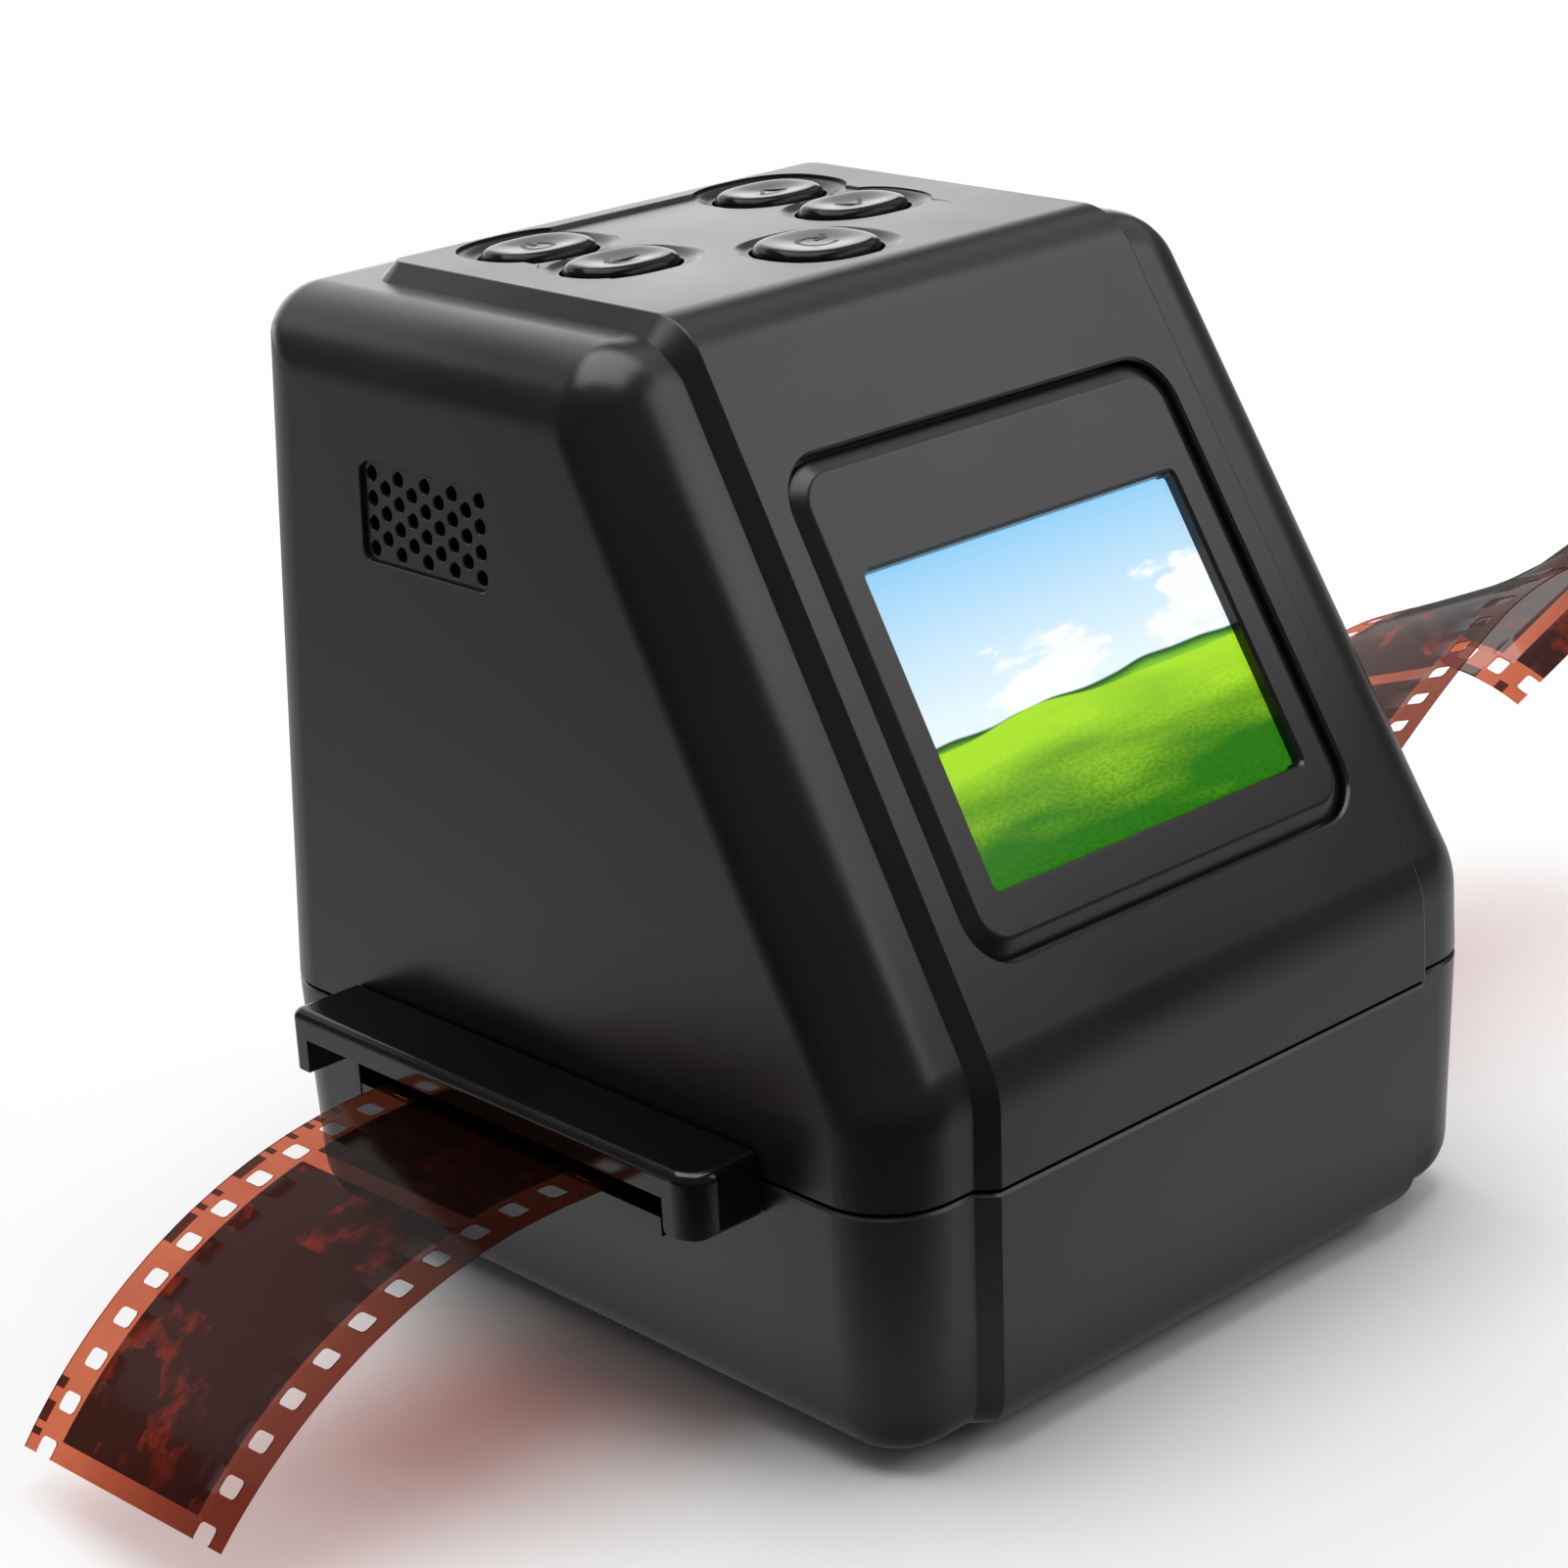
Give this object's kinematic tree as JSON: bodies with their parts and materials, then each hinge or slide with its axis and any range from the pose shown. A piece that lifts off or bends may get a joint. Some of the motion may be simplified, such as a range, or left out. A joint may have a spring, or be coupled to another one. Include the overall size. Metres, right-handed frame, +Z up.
{
  "type": "film negative scanner",
  "caption": "Desktop scanner for film negatives: slant-fronted case with a screen, top buttons and a film track through the base.",
  "frame": {"origin": "centre of the flat underside of the base, 1 mm above the table that the feet stand on", "axes": "+Z up, -Y out of the front with the screen, +X to the right as one faces the screen; the film runs along X"},
  "size_m": [0.2241, 0.0966, 0.1054],
  "materials": {
    "satin_black": "satin, finely textured moulding",
    "gloss_black": "high gloss",
    "screen": "lit display behind clear cover",
    "circuit_board": "solder mask",
    "silicone": "matte",
    "film_stock": "glossy, see-through orange brown",
    "inner_black": "matte",
    "lamp_board": "matte white solder mask",
    "opal_plastic": "opal",
    "clear_glass": "polished",
    "steel": "plated",
    "foot_rubber": "matte"
  },
  "bodies": {
    "case": {"upper_shell": "satin_black", "base_shell": "satin_black", "screen_bezel": "satin_black", "lcd_module": "screen", "lcd_board": "circuit_board", "button_board": "circuit_board", "film_track_bed": "satin_black", "film_track_hood": "satin_black", "light_box": "opal_plastic", "led_board": "lamp_board", "light_diffuser": "opal_plastic", "camera_tower": "inner_black", "lens_barrel": "inner_black", "lens_glass": "clear_glass", "sensor_board": "circuit_board", "main_board": "circuit_board", "usb_socket": "steel", "card_socket": "steel", "speaker": "inner_black", "power_dome": "silicone", "mirror_dome": "silicone", "up_dome": "silicone", "down_dome": "silicone", "capture_dome": "silicone", "case_screw_left_front": "steel", "foot_left_front": "foot_rubber", "case_screw_left_rear": "steel", "foot_left_rear": "foot_rubber", "case_screw_right_front": "steel", "foot_right_front": "foot_rubber", "case_screw_right_rear": "steel", "foot_right_rear": "foot_rubber"},
    "power_button": {"power_button": "gloss_black"},
    "mirror_button": {"mirror_button": "gloss_black"},
    "up_button": {"up_button": "gloss_black"},
    "down_button": {"down_button": "gloss_black"},
    "capture_button": {"capture_button": "gloss_black"},
    "film": {"film_strip": "film_stock"}
  },
  "joints": [
    {"name": "power_press", "type": "slide", "parent": "case", "child": "power_button", "axis": [0, 0, -1], "range_m": [0, 0.0008], "stiffness_N_per_m": 700, "springref_m": -0.0006, "deforming": ["power_dome"]},
    {"name": "mirror_press", "type": "slide", "parent": "case", "child": "mirror_button", "axis": [0, 0, -1], "range_m": [0, 0.0008], "stiffness_N_per_m": 700, "springref_m": -0.0006, "deforming": ["mirror_dome"]},
    {"name": "up_press", "type": "slide", "parent": "case", "child": "up_button", "axis": [0, 0, -1], "range_m": [0, 0.0008], "stiffness_N_per_m": 700, "springref_m": -0.0006, "deforming": ["up_dome"]},
    {"name": "down_press", "type": "slide", "parent": "case", "child": "down_button", "axis": [0, 0, -1], "range_m": [0, 0.0008], "stiffness_N_per_m": 700, "springref_m": -0.0006, "deforming": ["down_dome"]},
    {"name": "capture_press", "type": "slide", "parent": "case", "child": "capture_button", "axis": [0, 0, -1], "range_m": [0, 0.0008], "stiffness_N_per_m": 700, "springref_m": -0.0006, "deforming": ["capture_dome"]},
    {"name": "film_feed", "type": "slide", "parent": "case", "child": "film", "axis": [1, 0, 0], "range_m": [-0.0095, 0.00475]}
  ]
}
